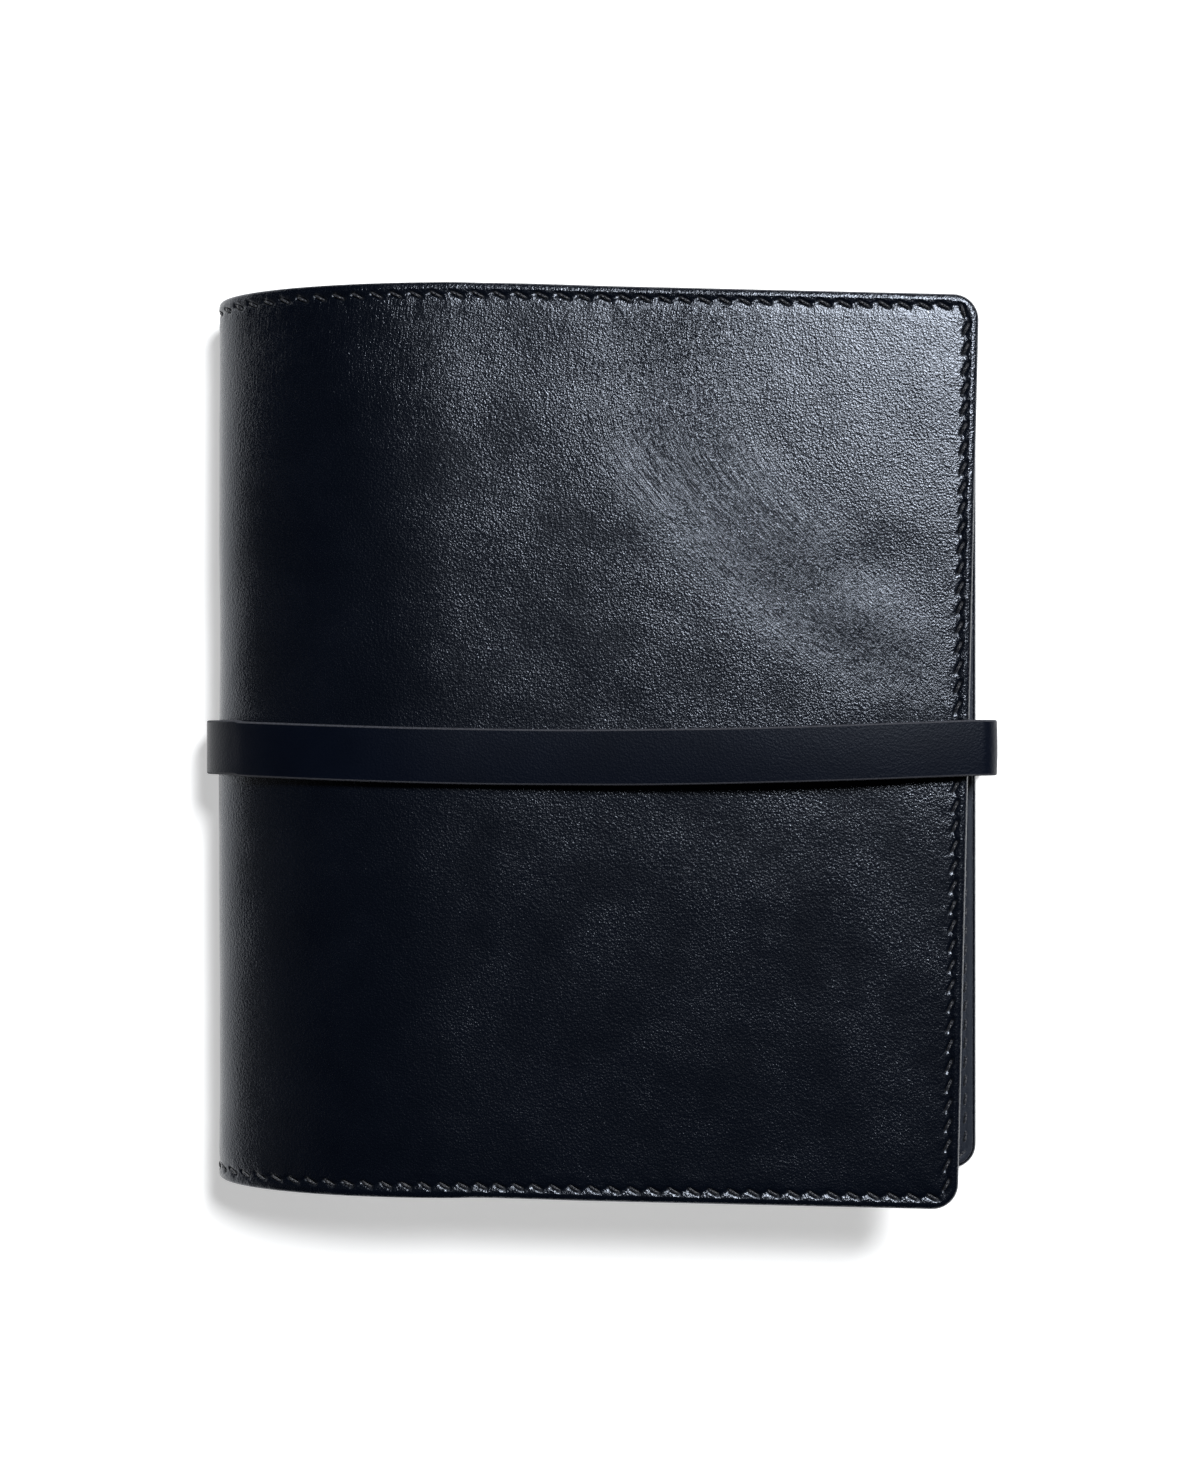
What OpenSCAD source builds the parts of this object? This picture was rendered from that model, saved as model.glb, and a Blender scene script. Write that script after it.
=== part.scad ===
// Ring-bound leather notebook cover, closed and lying on its back panel,
// with a plain leather strap slipped round it.
// Millimetres. +X is towards the fore edge, +Y towards the head, +Z up.
// The origin is at the bottom centre of the whole object.

/* [Pages] */
// Width of one page
page_w = 148; // [120:1:180]
// Height of one page
page_h = 210; // [170:1:260]
// Distance from the punched edge of a page to its hole centres
punch_inset = 6; // [5:0.5:8]
// Radius of the punched holes
punch_r = 2.9; // [2.6:0.1:3.4]

/* [Ring mechanism] */
// Inside diameter of a ring
ring_bore = 20; // [18:0.5:30]
// Diameter of the ring wire
wire_d = 2.6; // [1.8:0.1:3.2]
// Distance between neighbouring rings in a group of three
ring_pitch = 19; // [14:0.5:24]
// Distance between the two inner rings
group_gap = 70; // [50:1:90]
// Width of the steel channel
channel_w = 18; // [16:0.5:22]
// Height of the steel channel
channel_h = 3.4; // [3:0.1:5]
// Sheet thickness of the channel and of the blades
sheet_t = 0.7; // [0.5:0.05:0.9]
// Distance from the spine's outer face to the ring axis
ring_offset = 38; // [32:0.25:44]
// Radius of the pin that each end lever turns on
pin_r = 0.8; // [0.6:0.05:1]

/* [Cover] */
// Thickness of the outer leather
leather_t = 1.6; // [1:0.1:2.4]
// Thickness of the stiffener between leather and lining
board_t = 1; // [0.6:0.1:2]
// Thickness of the lining
lining_t = 0.8; // [0.5:0.1:1.4]
// Leather beyond each end of the pages
end_margin = 10; // [6:0.5:16]
// Leather beyond the fore edge of the pages on the back panel
fore_margin = 10.2; // [6:0.5:16]
// How far the front panel stops short of the back panel at the fore edge
front_setback = 8.3; // [4:0.5:12]
// Angle that the front panel has slipped out of square, in degrees
front_skew = 1.35; // [0.1:0.05:2]
// Radius of the fore edge corners
corner_r = 6.5; // [3:0.5:10]
// Radius of the tight fold where the spine meets the back panel
fold_r = 9; // [6:0.5:11]
// Length of the long slope where the spine runs up to the front panel
slope_len = 64; // [50:1:75]

/* [Pockets] */
// Thickness of the two slip pockets
pocket_t = 0.7; // [0.4:0.1:1]
// Thickness of one card pocket
card_t = 0.6; // [0.4:0.1:0.8]
// Width of the card pockets
card_w = 62; // [58:1:70]
// Height of the tallest card pocket
card_h = 90; // [88:1:96]
// Step from one card pocket's mouth to the next
card_step = 14; // [8:1:18]

/* [Strap] */
// Width of the strap
strap_w = 14; // [8:0.5:24]
// Thickness of the strap
strap_t = 2.2; // [1.4:0.1:3]
// How far the strap stands up off the front panel at its highest
strap_lift = 3; // [0:0.25:6]
// How far the strap sits below the middle of the cover
strap_low = 3; // [0:0.2:20]
// Distance the strap has been slid off the head to free the cover
strap_travel = 150; // [140:1:200]

/* [Hidden] */
$fn = 48;

// ---- clearances ----
rest_gap = 0.1;       // back panel above the strap's lower run
spine_gap = 1;        // strap off the spine
fore_gap = 0.6;       // strap off the fore edge of the back panel
ring_slack = 1.1;     // room inside a ring above and below the pages
page_lift = 1;        // pages above the channel
page_rest = 0.8;      // pages above the deepest pockets, closed or turned over
page_gap = 3.4;       // slack between the pages and the card pockets
pages_apart = 0.15;   // half the space between the two stacks
strip_gap = 0.2;      // slit between neighbouring strips of the spine
hem_w = 4;            // leather turned in round the stiffener
board_gap = 0.2;      // stiffener to turned hem
lining_inset = 1.2;   // lining short of the leather's edge
layer_step = 4;       // leather and lining part round the stiffener over this length
run_gap = 0.05;       // running clearance of a lever on its pin
blade_gap = 0.15;     // half the space between the two blades
ring_joint = 0.05;    // half the space where two ring halves meet

// ---- sizes that follow from the ones above ----
panel_t = leather_t + board_t + lining_t;
spine_t = leather_t + lining_t;
ring_r = ring_bore / 2 + wire_d / 2;
stack_half = ring_bore / 2 - ring_slack;
ring_z = panel_t + channel_h + page_lift + stack_half;
fan_half = ring_z - panel_t - pocket_t - 3 * card_t - page_rest;
thick = ring_z + fan_half + page_gap + pocket_t + 3 * card_t + panel_t;
cover_h = page_h + 2 * end_margin;
back_w = ring_offset + ring_r - punch_inset + page_w + fore_margin;

spine_x = (spine_gap - back_w - fore_gap) / 2;   // the spine's outermost face
back_fore_x = spine_x + back_w;
front_fore_x = back_fore_x - front_setback;
flat_x = spine_x + slope_len;                    // the front panel is flat from here on
ring_x = spine_x + ring_offset;
base_z = strap_t + rest_gap;                     // underside of the back panel

skew_t = tan(front_skew);
skew_drop = (front_fore_x - flat_x) * skew_t;    // the front's fore edge sits this much lower
mid_y = skew_drop / 2;                           // centre of the back panel

// ---- spine ----
// The spine's outer face is one smooth curve. Its place is given by the angle that the
// leather has turned through, from 0 at the back panel to 180 at the front panel:
// a round fold up to 90 degrees and a quarter ellipse after that.
body_turn = [0, 85, 148, 180];   // how far each rigid stretch has turned
strip_turn = [30, 125, 165];     // where one stretch ends and the next begins

function inward(t) = [sin(t), cos(t)];
function along(t) = [-cos(t), sin(t)];
function ax(t) = t > 90 ? slope_len : fold_r;
function az(t) = t > 90 ? thick - fold_r : fold_r;
function reach(t) = sqrt(pow(ax(t) * sin(t), 2) + pow(az(t) * cos(t), 2));
function spine_at(t, inset = 0) =
    [spine_x + ax(t) - pow(ax(t), 2) * sin(t) / reach(t),
     fold_r - pow(az(t), 2) * cos(t) / reach(t)] + inset * inward(t);
function meet(p, u, q, v) =
    p + u * ((q[0] - p[0]) * v[1] - (q[1] - p[1]) * v[0]) / (u[0] * v[1] - u[1] * v[0]);
// A hinge lies where the straight runs of its two neighbours meet, in the middle of the leather.
function hinge_at(n) = meet(
    spine_at(body_turn[n], spine_t / 2), along(body_turn[n]),
    spine_at(body_turn[n + 1], spine_t / 2), along(body_turn[n + 1]));
turn_step = 5;
function turns(a, b) = let (n = max(1, ceil((b - a) / turn_step)))
    [for (k = [0:n]) a + (b - a) * k / n];
function reversed(list) = [for (k = [len(list) - 1:-1:0]) list[k]];
// Outline of a layer that lies between two insets from one turn to another.
function layer(a, b, near, far) = concat(
    [for (t = turns(a, b)) spine_at(t, near)],
    reversed([for (t = turns(a, b)) spine_at(t, far)]));

// ---- placing ----
module place() translate([0, mid_y, base_z]) children();
// Draws an outline given in X and Z, and extrudes it along Y over the given length.
module along_y(length) rotate([90, 0, 0]) linear_extrude(length, center = true) children();

// ---- plan outlines of the two panels, seen from above ----
big = 2 * (back_w + cover_h);

module rounded_end(x0, x1, half, r) {
    translate([x0, -half]) square([x1 - r - x0, 2 * half]);
    translate([x1 - r - 1, -half + r]) square([r + 1, 2 * (half - r)]);
    for (s = [-1, 1]) translate([x1 - r, s * (half - r)]) circle(r);
}

module back_plan(inset, x0) {
    rounded_end(x0, back_fore_x - inset, cover_h / 2 - inset, max(1, corner_r - inset));
}

module front_plan(inset, x0) {
    if (x0 < flat_x)
        translate([x0, -cover_h / 2 + inset]) square([flat_x - x0, cover_h - 2 * inset]);
    intersection() {
        translate([flat_x, 0]) rotate(-front_skew)
            rounded_end(-cover_h * skew_t, (front_fore_x - flat_x) * cos(front_skew) - inset,
                cover_h / 2 * cos(front_skew) - inset, max(1, corner_r - inset));
        translate([max(x0, flat_x), -big / 2]) square([big, big]);
    }
}

module plate(z, t) translate([0, 0, z]) linear_extrude(t) children();

// ---- back panel ----
// One layer of the back panel: flat, then down to the leather and round the start of the fold.
module back_layer(near, far, flat_near, flat_far, inset) intersection() {
    end = strip_turn[0] - slit(strip_turn[0]);
    step_x = spine_x + fold_r + layer_step;
    along_y(big) polygon(concat(
        [[back_fore_x + 1, flat_near], [step_x, flat_near]],
        [for (t = turns(0, end)) spine_at(t, near)],
        reversed([for (t = turns(0, end)) spine_at(t, far)]),
        [[step_x, flat_far], [back_fore_x + 1, flat_far]]));
    plate(-1, fold_r + 1) back_plan(inset, spine_x - 1);
}

module rivet_holes(extra, z, h) for (s = [-1, 1])
    translate([ring_x, s * rivet_y, z]) cylinder(r = rivet_r + extra, h = h);

module back_leather() color("#10151f") {
    difference() {
        back_layer(0, leather_t, 0, leather_t, 0);
        on_back() grooves(back_row_x, back_fore_x, cover_h / 2);
    }
    plate(leather_t, board_t) difference() {
        back_plan(0, spine_x + fold_r + layer_step);
        back_plan(hem_w, spine_x + fold_r);
    }
}

module back_board() color("#6b5c48") difference() {
    plate(leather_t, board_t) back_plan(hem_w + board_gap, spine_x + fold_r + layer_step + board_gap);
    rivet_holes(run_gap, 0, panel_t);
    rivet_holes(rivet_foot_r - rivet_r + board_gap, 0, leather_t + rivet_foot_t);
}

module back_lining() color("#161c28") difference() {
    back_layer(leather_t, spine_t, leather_t + board_t, panel_t, lining_inset);
    rivet_holes(run_gap, leather_t, panel_t);
}

pocket_edge = 4;      // sewn margin of a slip pocket inside the leather's edge
back_mouth = 46;      // mouth of the back pocket beyond the spine's slope
back_mouth_x = flat_x + back_mouth;

module back_pocket() color("#161c28")
    plate(panel_t, pocket_t) back_plan(pocket_edge, back_mouth_x);

// ---- stitching: one short round stitch after another in a pressed groove ----
stitch_pitch = 5;
stitch_len = 3.7;
stitch_r = 0.35;
stitch_inset = 3.2;
row_short = 1;        // straight rows stop this far before the rounded corners
groove_gap = 0.1;     // thread to the groove's walls
groove_half = stitch_r + groove_gap;

// Places its children at the start of a row, turned so that +X runs along it.
module row(from, to) translate(from) rotate(atan2(to[1] - from[1], to[0] - from[0])) children();

module stitch_row(from, to) row(from, to) {
    length = norm(to - from);
    n = floor(length / stitch_pitch);
    for (k = [0:n - 1]) translate([(k + 0.5) * length / n, 0, 0]) rotate([0, 90, 0])
        cylinder(r = stitch_r, h = stitch_len, center = true, $fn = 16);
}

module groove_row(from, to) row(from, to)
    translate([-groove_half, -groove_half, -groove_half])
        cube([norm(to - from) + 2 * groove_half, 2 * groove_half, 3 * groove_half]);

// Rows along the head, the fore edge and the tail of a panel, kept off its corners.
module stitches(x0, fore, half) {
    e = stitch_inset;
    c = corner_r + row_short;
    stitch_row([x0, half - e], [fore - c, half - e]);
    stitch_row([x0, e - half], [fore - c, e - half]);
    stitch_row([fore - e, half - c], [fore - e, c - half]);
}

module grooves(x0, fore, half) {
    e = stitch_inset;
    groove_row([x0, half - e], [fore - e, half - e]);
    groove_row([x0, e - half], [fore - e, e - half]);
    groove_row([fore - e, half - e], [fore - e, e - half]);
}

// Puts rows on the outer face of each panel.
module on_back() translate([0, 0, groove_half]) mirror([0, 0, 1]) children();
module on_front() translate([flat_x, 0, thick - groove_half]) rotate(-front_skew) children();

back_row_x = spine_x + fold_r + stitch_pitch;
front_half = cover_h / 2 * cos(front_skew);
front_len = (front_fore_x - flat_x) * cos(front_skew);

module back_stitching() color("#0b0e15")
    on_back() stitches(back_row_x, back_fore_x, cover_h / 2);

module front_stitching() color("#0b0e15")
    on_front() stitches(stitch_pitch, front_len, front_half);

// ---- ring mechanism ----
ring_ys = [for (s = [-1, 1], k = [0:2]) s * (group_gap / 2 + k * ring_pitch)];
channel_short = 4;    // channel shorter than the pages
channel_bend = 1.6;   // outer bend along each side of the channel
channel_len = page_h - channel_short;
pin_inset = 2;        // lever pin in from the end of the channel
pin_y = channel_len / 2 - pin_inset;
rivet_shift = 1;      // rivet nearer to the last ring than to the lever pin
rivet_y = (group_gap / 2 + 2 * ring_pitch + pin_y) / 2 - rivet_shift;
rivet_r = 1.3;
rivet_head_r = 2.4;
rivet_head_t = 0.6;
rivet_foot_r = 3.2;
rivet_foot_t = 0.5;
lever_pocket = 4.4;   // open end of the channel that the lever sits in
blade_end_gap = 0.5;  // blade short of each lever pocket
blade_len = channel_len - 2 * (lever_pocket + blade_end_gap);
blade_z = 0.9;        // underside of the blades above the channel's foot
blade_edge = channel_w / 2 - sheet_t - blade_gap;
blade_hole_gap = 0.6; // blade to the rivet that passes through it
ring_open = 6.5;      // each half of the rings tips outwards by this angle
foot_x = 5;           // ring wire meets the blade this far from the middle
slot_start = 2;       // a slot in the channel starts this far from the middle
slot_gap = 0.2;       // outer end of a slot to the ring wire
slot_end = sqrt(pow(ring_r + wire_d / 2, 2) - pow(page_lift + stack_half, 2)) + slot_gap;
slot_half = 3;        // half the length of a slot along the channel

module channel_section() {
    r = channel_bend;
    difference() {
        union() {
            translate([-channel_w / 2, 0]) square([channel_w, channel_h - r]);
            translate([r - channel_w / 2, 0]) square([channel_w - 2 * r, channel_h]);
            for (s = [-1, 1]) translate([s * (channel_w / 2 - r), channel_h - r]) circle(r);
        }
        translate([sheet_t - channel_w / 2, -1])
            square([channel_w - 2 * sheet_t, channel_h - r + 1]);
        translate([r - channel_w / 2, -1])
            square([channel_w - 2 * r, channel_h - sheet_t + 1]);
        for (s = [-1, 1]) translate([s * (channel_w / 2 - r), channel_h - r]) circle(r - sheet_t);
    }
}

module ring_channel() color("#c9ccd1") translate([ring_x, 0, panel_t]) difference() {
    along_y(channel_len) channel_section();
    for (y = ring_ys, s = [-1, 1])
        translate([s > 0 ? slot_start : -slot_end, y - slot_half, channel_h / 2])
            cube([slot_end - slot_start, 2 * slot_half, channel_h]);
    for (s = [-1, 1]) {
        translate([0, s * rivet_y, 0]) cylinder(r = rivet_r + run_gap, h = channel_h + 1);
        translate([sheet_t - channel_w / 2, s > 0 ? channel_len / 2 - lever_pocket : -channel_len / 2 - 1, 1])
            cube([channel_w - 2 * sheet_t, lever_pocket + 1, channel_h]);
        translate([0, s * pin_y, pin_z]) rotate([0, 90, 0])
            cylinder(r = pin_r, h = channel_w + 2, center = true);
    }
}

module mechanism_rivets() color("#b9bcc2")
    for (s = [-1, 1]) translate([ring_x, s * rivet_y, 0]) {
    translate([0, 0, leather_t]) cylinder(r = rivet_foot_r, h = rivet_foot_t);
    translate([0, 0, leather_t]) cylinder(r = rivet_r, h = board_t + lining_t + channel_h);
    translate([0, 0, panel_t + channel_h]) cylinder(r = rivet_head_r, h = rivet_head_t);
}

// s is -1 for the left side and 1 for the right side.
module blade(s) color("#a9adb4") translate([ring_x, 0, panel_t + blade_z]) difference() {
    translate([s > 0 ? blade_gap : -blade_edge, -blade_len / 2, 0])
        cube([blade_edge - blade_gap, blade_len, sheet_t]);
    for (e = [-1, 1]) translate([0, e * rivet_y, -1]) cylinder(r = rivet_r + blade_hole_gap, h = sheet_t + 2);
}

module ring_halves(s) color("#d4d7db") for (y = ring_ys) translate([ring_x, y, 0]) {
    foot_z = ring_z - sqrt(pow(ring_r, 2) - pow(foot_x, 2));
    blade_top = panel_t + blade_z + sheet_t;
    sunk = wire_d / 8;    // foot runs this far into the curved wire
    difference() {
        translate([0, 0, ring_z]) rotate([90, 0, 0])
            rotate_extrude() translate([ring_r, 0]) circle(wire_d / 2);
        translate([s > 0 ? -big + ring_joint : -ring_joint, -wire_d, 0]) cube([big, 2 * wire_d, big]);
        translate([s > 0 ? -1 : -foot_x, -wire_d, 0]) cube([foot_x + 1, 2 * wire_d, ring_z]);
    }
    translate([s * foot_x, 0, blade_top]) cylinder(r = wire_d / 2, h = foot_z - blade_top + sunk);
}

// ---- end levers ----
pin_z = 1.75;         // above the channel's foot
barrel_r = 1.45;
lever_gap = 0.5;      // lever to each side of the channel
lever_w = channel_w - 2 * (sheet_t + lever_gap);
pin_short = 0.2;      // pin shorter than the channel is wide
lever_arm = [[0.4, -1.35], [5, 1.5], [8.4, 8.7], [7.5, 9.1], [4.2, 2.3], [-0.4, 1.35]];
toe_w = 2.6;          // narrow toe that reaches under the blades and lifts them
toe = [[0, -1.25], [-3.3, -1.25], [-3.3, -1.6], [-0.3, -1.6]];

module lever_pin(s) color("#8f939a") translate([ring_x, s * pin_y, panel_t + pin_z]) rotate([0, 90, 0])
    cylinder(r = pin_r, h = channel_w - pin_short, center = true);

module lever(s) color("#c0c3c8") translate([ring_x, s * pin_y, panel_t + pin_z])
    rotate([90, 0, s * 90]) difference() {
        union() {
            linear_extrude(lever_w, center = true) {
                circle(barrel_r);
                polygon(lever_arm);
            }
            linear_extrude(toe_w, center = true) polygon(toe);
        }
        cylinder(r = pin_r + run_gap, h = lever_w + 2, center = true);
    }

// ---- pages: two stacks threaded on the rings, each looser at the fore edge ----
ease_x = 12;          // the stack starts to loosen this far from the ring
ease_len = 30;
leaf_steps = 8;

function leaf_x(dz) = ring_x + sqrt(pow(ring_r, 2) - dz * dz) - punch_inset;
function leaf_z(s, f) = ring_z + s * (pages_apart + f * (stack_half - pages_apart));
function fan_z(s, f) = ring_z + s * (pages_apart + f * (fan_half - pages_apart));

// Turns what hangs on the right-hand blade as far as the rings have opened.
module blade_turn(a) translate([blade_edge, panel_t + blade_z - ring_z, 0]) rotate(-a)
    translate([-blade_edge, ring_z - panel_t - blade_z, 0]) children();

// s is 1 for the stack above the ring's middle and -1 for the one below it.
module pages(s) color("#f3efe4") difference() {
    along_y(page_h) polygon(concat(
        [for (k = [0:leaf_steps]) [leaf_x(leaf_z(s, k / leaf_steps) - ring_z), leaf_z(s, k / leaf_steps)]],
        [for (k = [0:leaf_steps]) let (w = k / leaf_steps)
            [ring_x + ring_r + ease_x + ease_len * w,
             leaf_z(s, 1) + (fan_z(s, 1) - leaf_z(s, 1)) * w * w * (3 - 2 * w)]],
        [for (k = [leaf_steps:-1:0])
            [leaf_x(leaf_z(s, k / leaf_steps) - ring_z) + page_w, fan_z(s, k / leaf_steps)]]));
    for (y = ring_ys) translate([ring_x, y, ring_z]) rotate([90, 0, 0])
        for (a = [0, ring_open / 2, ring_open]) blade_turn(a)
            rotate_extrude() translate([ring_r, 0]) circle(punch_r);
}

// ---- spine: two strips that stand for one bending piece of leather ----
function slit(t) = strip_gap / 2 * 180 / PI / (t > 90 ? reach(t) : fold_r);

module spine_strip(n, near, far, length) along_y(length)
    polygon(layer(strip_turn[n] + slit(strip_turn[n]), strip_turn[n + 1] - slit(strip_turn[n + 1]), near, far));

module spine_leather(n) color("#0d1119") spine_strip(n, 0, leather_t, cover_h);
module spine_lining(n) color("#161c28")
    spine_strip(n, leather_t, spine_t, cover_h - 2 * lining_inset);

// ---- front panel ----
// One layer of the front: it follows the end of the slope, then the flat panel.
module front_layer(near, far, flat_near, flat_far, inset) intersection() {
    start = strip_turn[2] + slit(strip_turn[2]);
    step_x = flat_x + layer_step;
    along_y(big) polygon(concat(
        [for (t = turns(start, 180)) spine_at(t, near)],
        [[step_x, thick - flat_near], [back_fore_x, thick - flat_near],
         [back_fore_x, thick - flat_far], [step_x, thick - flat_far]],
        reversed([for (t = turns(start, 180)) spine_at(t, far)])));
    plate(thick / 2, thick) front_plan(inset, spine_x);
}

module front_leather() color("#10151f") {
    difference() {
        front_layer(0, leather_t, 0, leather_t, 0);
        on_front() grooves(stitch_pitch, front_len, front_half);
    }
    plate(thick - leather_t - board_t, board_t) difference() {
        front_plan(0, flat_x + layer_step);
        front_plan(hem_w, flat_x);
    }
}

module front_board() color("#6b5c48")
    plate(thick - leather_t - board_t, board_t) front_plan(hem_w + board_gap, flat_x + layer_step + board_gap);

module front_lining() color("#161c28")
    front_layer(leather_t, spine_t, leather_t + board_t, panel_t, lining_inset);

front_mouth = 45;     // mouth of the front pocket beyond the spine's slope
front_mouth_x = flat_x + front_mouth;

module front_pocket() color("#161c28")
    plate(thick - panel_t - pocket_t, pocket_t) front_plan(pocket_edge, front_mouth_x);

card_in = 10;         // card pockets in from the mouth of the front pocket
card_x = front_mouth_x + card_in;
card_y = -20;         // bottom edge of the card pockets

module card_pocket(n) color("#121824")
    translate([card_x, card_y, thick - panel_t - pocket_t - (n + 1) * card_t])
        cube([card_w, card_h - n * card_step, card_t]);

// ---- strap: a plain closed loop ----
fore_r = 0.9;         // inner bend at the back panel's fore edge
top_r = 3.5;          // inner bend above the front panel's fore edge
top_out = 1.7;        // centre of that bend outside the front panel's fore edge
top_end = 0.6;        // strap above the front panel where that bend begins
arch_steps = 20;
bend_steps = 8;
easy_turn = 60;       // turn by which the strap has come clear of the leather
// The strap's arch follows u^2 (1 - u), whose greatest value is 4/27 at u = 2/3.
arch_scale = 27 / 4;

top_x = front_fore_x + top_out;
low_x = back_fore_x + fore_gap - fore_r;
low_z = fore_r - rest_gap;
arch_slope = atan(arch_scale * strap_lift / (top_x - flat_x));
top_z = thick + top_end - top_r * cos(arch_slope);
// The two right-hand bends are joined by their common tangent.
run_angle = atan2(low_x - top_x, top_z - low_z)
    - asin((top_r - fore_r) / norm([low_x - top_x, top_z - low_z]));

function lifted(u) =
    thick + spine_gap * (1 - u) + top_end * u + strap_lift * arch_scale * u * u * (1 - u);
function strap_gap_at(t) = rest_gap + (spine_gap - rest_gap) * min(1, t / easy_turn);
function arc(x, z, r, a, b) = [for (k = [0:bend_steps]) let (g = a + (b - a) * k / bend_steps)
    [x + r * cos(g), z + r * sin(g)]];
function strap_outline(out) = concat(
    [for (t = turns(0, 180)) spine_at(t, -strap_gap_at(t) - out)],
    [for (k = [1:arch_steps - 1]) let (u = k / arch_steps) [flat_x + (top_x - flat_x) * u, lifted(u) + out]],
    arc(top_x, top_z, top_r + out, 90 - arch_slope, run_angle),
    arc(low_x, low_z, fore_r + out, run_angle, -90));

module strap_band() color("#0c1120") translate([0, -strap_low, 0])
    along_y(strap_w) difference() {
        polygon(strap_outline(strap_t));
        polygon(strap_outline(0));
    }

module card_pocket_1() card_pocket(0);
module card_pocket_2() card_pocket(1);
module card_pocket_3() card_pocket(2);

place() back_leather();
place() back_board();
place() back_lining();
place() back_pocket();
place() back_stitching();
place() ring_channel();
place() mechanism_rivets();
place() lever_pin(1);  // head_lever_pin
place() lever_pin(-1);  // tail_lever_pin
place() pages(-1);  // lower_pages
place() pages(1);  // upper_pages
place() blade(-1);  // left_blade
place() ring_halves(-1);  // left_ring_halves
place() blade(1);  // right_blade
place() ring_halves(1);  // right_ring_halves
place() lever(1);  // head_lever
place() lever(-1);  // tail_lever
place() spine_leather(0);  // spine_leather_back
place() spine_leather(1);  // spine_leather_front
place() spine_lining(0);  // spine_lining_back
place() spine_lining(1);  // spine_lining_front
place() front_leather();
place() front_board();
place() front_lining();
place() front_pocket();
place() card_pocket_1();
place() card_pocket_2();
place() card_pocket_3();
place() front_stitching();
place() strap_band();
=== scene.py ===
"""Looks for the ring-bound leather notebook cover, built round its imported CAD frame."""

import math
import random

import bpy
import numpy as np
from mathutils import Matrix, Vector, noise
from mathutils.geometry import delaunay_2d_cdt


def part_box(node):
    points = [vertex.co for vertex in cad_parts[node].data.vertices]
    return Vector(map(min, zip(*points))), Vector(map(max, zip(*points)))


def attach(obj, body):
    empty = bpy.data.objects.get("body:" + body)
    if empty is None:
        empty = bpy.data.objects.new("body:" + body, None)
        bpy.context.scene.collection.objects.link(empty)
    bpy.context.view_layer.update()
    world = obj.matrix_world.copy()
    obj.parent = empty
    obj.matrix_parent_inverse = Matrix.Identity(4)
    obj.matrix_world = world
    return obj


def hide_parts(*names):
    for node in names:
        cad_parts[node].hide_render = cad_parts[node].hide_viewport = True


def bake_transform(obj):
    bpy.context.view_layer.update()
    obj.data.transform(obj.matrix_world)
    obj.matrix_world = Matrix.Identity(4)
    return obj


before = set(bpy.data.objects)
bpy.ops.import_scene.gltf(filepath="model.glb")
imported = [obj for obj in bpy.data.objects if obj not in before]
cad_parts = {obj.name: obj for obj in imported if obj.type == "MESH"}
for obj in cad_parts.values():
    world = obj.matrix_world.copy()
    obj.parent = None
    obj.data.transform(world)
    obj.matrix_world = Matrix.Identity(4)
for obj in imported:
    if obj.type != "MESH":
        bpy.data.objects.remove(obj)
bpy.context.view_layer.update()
MM = 0.001

# ---------------------------------------------------------------- sizes shared with the CAD
LEATHER_T = 1.6 * MM
BOARD_T = 1.0 * MM
LINING_T = 0.8 * MM
PANEL_T = LEATHER_T + BOARD_T + LINING_T
POCKET_T = 0.7 * MM
CARD_T = 0.6 * MM
STRAP_T = 2.2 * MM
BOARD_OFFSET = 4.2 * MM        # the stiffeners start this far inside the flat panels
FRONT_SKEW = math.radians(1.35)
CORNER_R = 6.5 * MM
SEAM_TURN = (80, 147.5)        # turns at which the pieces of one layer meet, between two hinges
FRONT_SETBACK = 8.3 * MM       # the front's fore edge stops this far short of the back's, before its skew
WIRE_R = 1.3 * MM

back_low, back_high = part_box("back_leather")
BASE_Z = back_low.z
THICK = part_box("front_leather")[1].z - BASE_Z
HEIGHT = back_high.y - back_low.y
MID_Y = (back_high.y + back_low.y) / 2
BACK_FORE = back_high.x
SPINE_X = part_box("spine_leather_back")[0].x
FOLD_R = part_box("back_board")[0].x - BOARD_OFFSET - SPINE_X
FLAT_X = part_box("front_board")[0].x - BOARD_OFFSET
SLOPE = FLAT_X - SPINE_X
FRONT_FORE = FLAT_X + (BACK_FORE - FRONT_SETBACK - FLAT_X) * math.cos(FRONT_SKEW)
RING_X = (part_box("ring_channel")[0].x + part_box("ring_channel")[1].x) / 2
RING_R = 11.3 * MM
RING_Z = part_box("left_ring_halves")[1].z - RING_R - WIRE_R


# ---------------------------------------------------------------- the cover's outer face
def axes_at(turn):
    """Half axes of the spine's curve where the leather has turned through this angle."""
    return (SLOPE, THICK - FOLD_R) if turn > 90 else (FOLD_R, FOLD_R)


def spine_at(turn, inset=0.0):
    a, b = axes_at(turn)
    s, c = math.sin(math.radians(turn)), math.cos(math.radians(turn))
    reach = math.hypot(a * s, b * c)
    return (SPINE_X + a - a * a * s / reach + inset * s, BASE_Z + FOLD_R - b * b * c / reach + inset * c)


def profile_table():
    """Arc length, place and turn along the outer face, from the back's fore edge to the front's."""
    turns = np.arange(0, 180.01, 0.5)
    places = [(BACK_FORE, BASE_Z)] + [spine_at(t) for t in turns] + [(FRONT_FORE, BASE_Z + THICK)]
    turned = [0.0] + list(turns) + [180.0]
    steps = [0.0] + [math.dist(p, q) for p, q in zip(places, places[1:])]
    return np.cumsum(steps), np.array(places), np.array(turned)


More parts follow.
